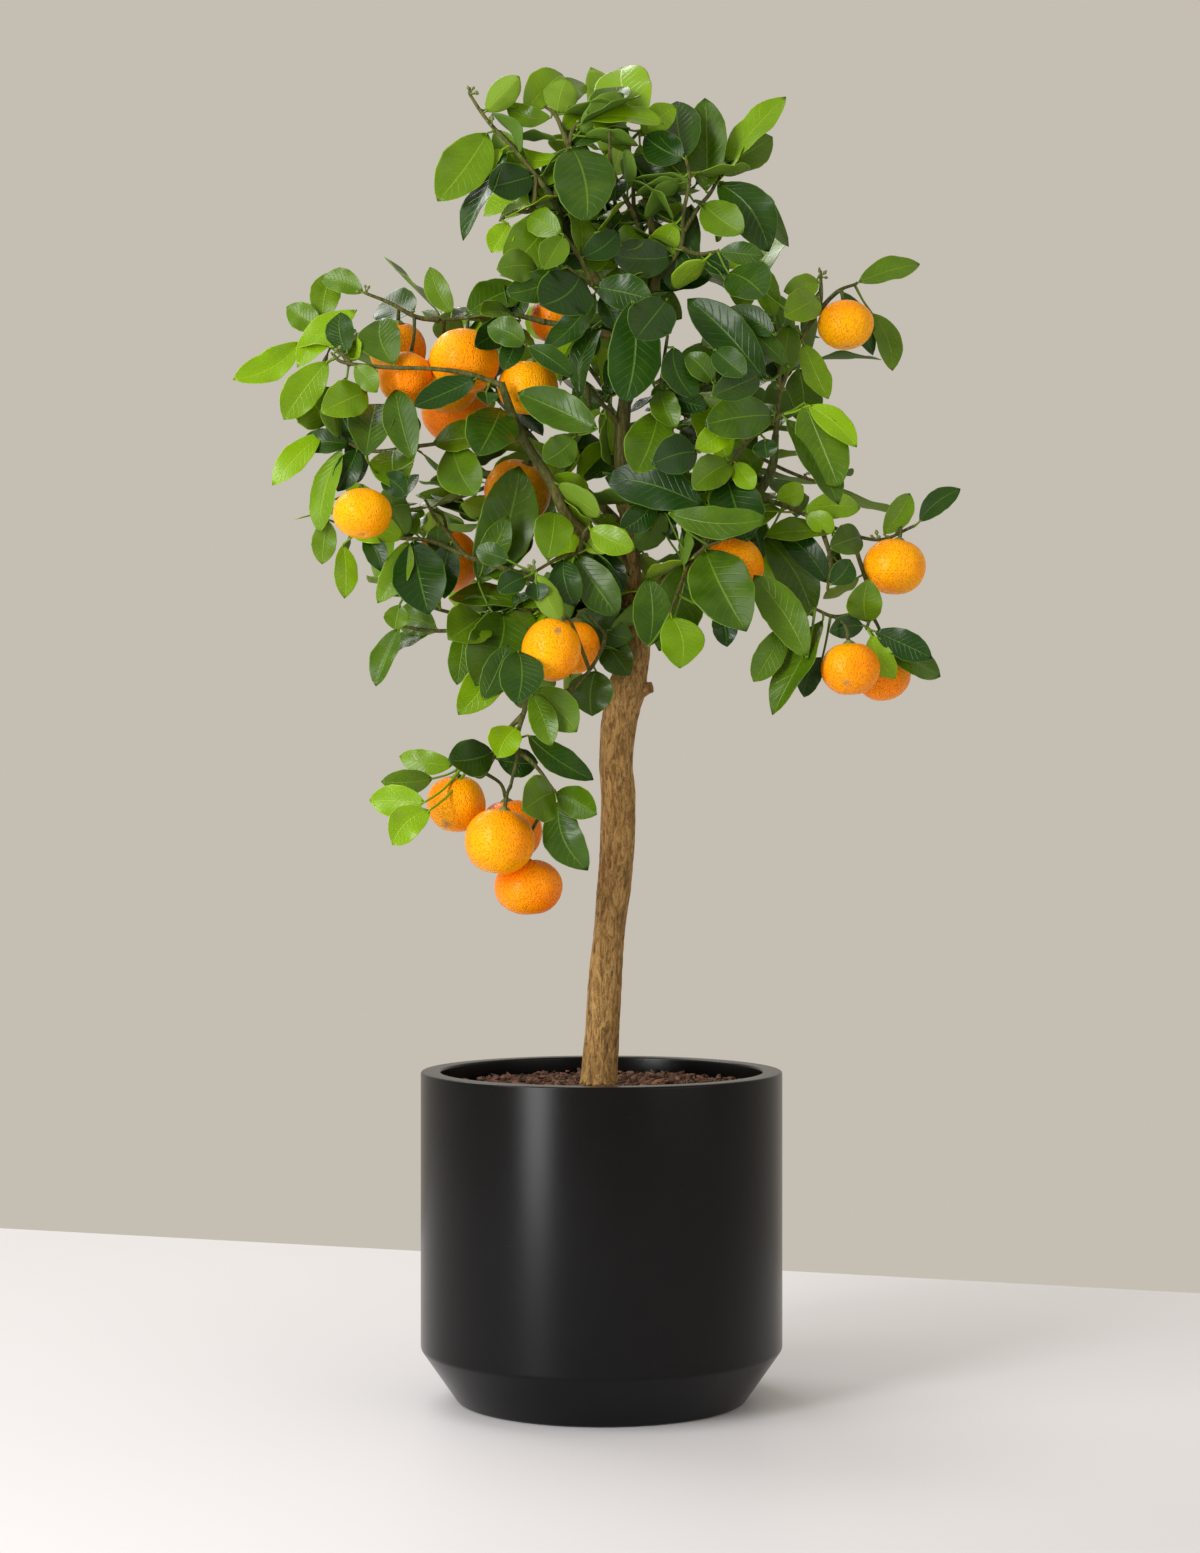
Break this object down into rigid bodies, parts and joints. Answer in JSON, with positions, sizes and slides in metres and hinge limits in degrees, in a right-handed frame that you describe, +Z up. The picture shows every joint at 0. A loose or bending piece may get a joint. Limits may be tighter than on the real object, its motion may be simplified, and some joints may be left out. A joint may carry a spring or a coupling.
{
  "type": "potted calamondin",
  "caption": "Small potted citrus tree: bent barky trunk, loose round crown of glossy leaves and ripe orange fruit, in a plain black planter.",
  "frame": {"origin": "centre of the planter's underside, on its axis", "axes": "+Z up, the tree's best side faces -Y, +X to the right as seen from that side"},
  "size_m": [0.461, 0.2877, 0.8614],
  "materials": {
    "planter": "satin black",
    "growing_mix": "coarse damp bark and coir",
    "bark": "fissured ochre-brown bark, greener on the twigs",
    "leaf": "glossy green, paler underneath",
    "fruit": "finely pored orange rind"
  },
  "bodies": {
    "root": {"pot": "planter", "potting_mix": "growing_mix", "trunk": "bark", "limb_right_long": "bark", "limb_left_long": "bark", "limb_left_low": "bark", "limb_hanging": "bark", "limb_left_high": "bark", "limb_crown_left": "bark", "limb_back_left": "bark", "limb_back_right": "bark", "limb_back_top": "bark", "shoot_top_left": "leaf", "shoot_top": "leaf", "shoot_crest": "leaf", "shoot_crown_right": "leaf", "shoot_left_high": "leaf", "shoot_left_tip": "leaf", "shoot_left_mid": "leaf", "shoot_left_inner": "leaf", "shoot_centre": "leaf", "shoot_upper_centre": "leaf", "shoot_left_low": "leaf", "shoot_left_under": "leaf", "shoot_hanging": "leaf", "shoot_below": "leaf", "shoot_fork": "leaf", "shoot_right_high": "leaf", "shoot_right_inner": "leaf", "shoot_right_low": "leaf", "shoot_right_hang": "leaf", "shoot_right_under": "leaf", "shoot_back_left_high": "leaf", "shoot_back_left_low": "leaf", "shoot_back_right_high": "leaf", "shoot_back_right_low": "leaf", "shoot_back_top": "leaf", "shoot_back_middle": "leaf", "shoot_back_low": "leaf", "fruit_01": "fruit", "fruit_02": "fruit", "fruit_03": "fruit", "fruit_04": "fruit", "fruit_05": "fruit", "fruit_06": "fruit", "fruit_07": "fruit", "fruit_08": "fruit", "fruit_09": "fruit", "fruit_10": "fruit", "fruit_11": "fruit", "fruit_12": "fruit", "fruit_13": "fruit", "fruit_14": "fruit", "fruit_15": "fruit", "fruit_16": "fruit", "fruit_17": "fruit", "fruit_18": "fruit", "fruit_19": "fruit", "fruit_20": "fruit", "fruit_21": "fruit"}
  },
  "joints": []
}
